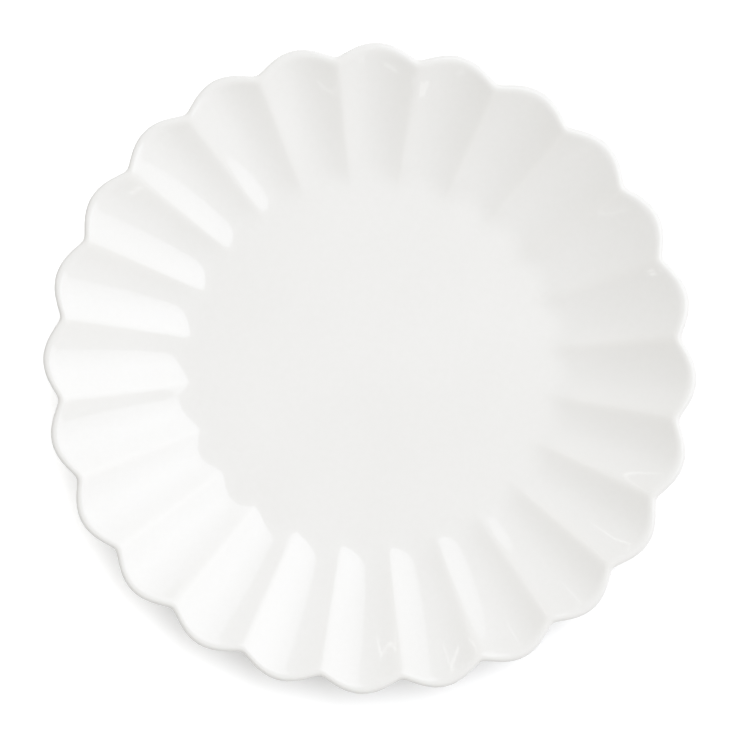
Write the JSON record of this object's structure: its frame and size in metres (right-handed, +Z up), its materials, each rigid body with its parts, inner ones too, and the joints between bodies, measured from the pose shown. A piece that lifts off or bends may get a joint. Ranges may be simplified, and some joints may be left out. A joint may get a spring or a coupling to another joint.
{
  "type": "fluted plate",
  "caption": "Round glazed stoneware plate with a flat well, a wall pressed into shell-like flutes, a scalloped lip and a bare foot ring.",
  "frame": {"origin": "centre of the plate, on the plane that its foot ring stands on", "axes": "+Z up, out of the face of the plate; +X along the middle of a petal"},
  "size_m": [0.28, 0.28, 0.0276],
  "materials": {
    "stoneware": "matte",
    "glaze": "gloss"
  },
  "bodies": {
    "root": {"stoneware_body": "stoneware", "glaze_coat": "glaze", "recess_glaze": "glaze"}
  },
  "joints": []
}
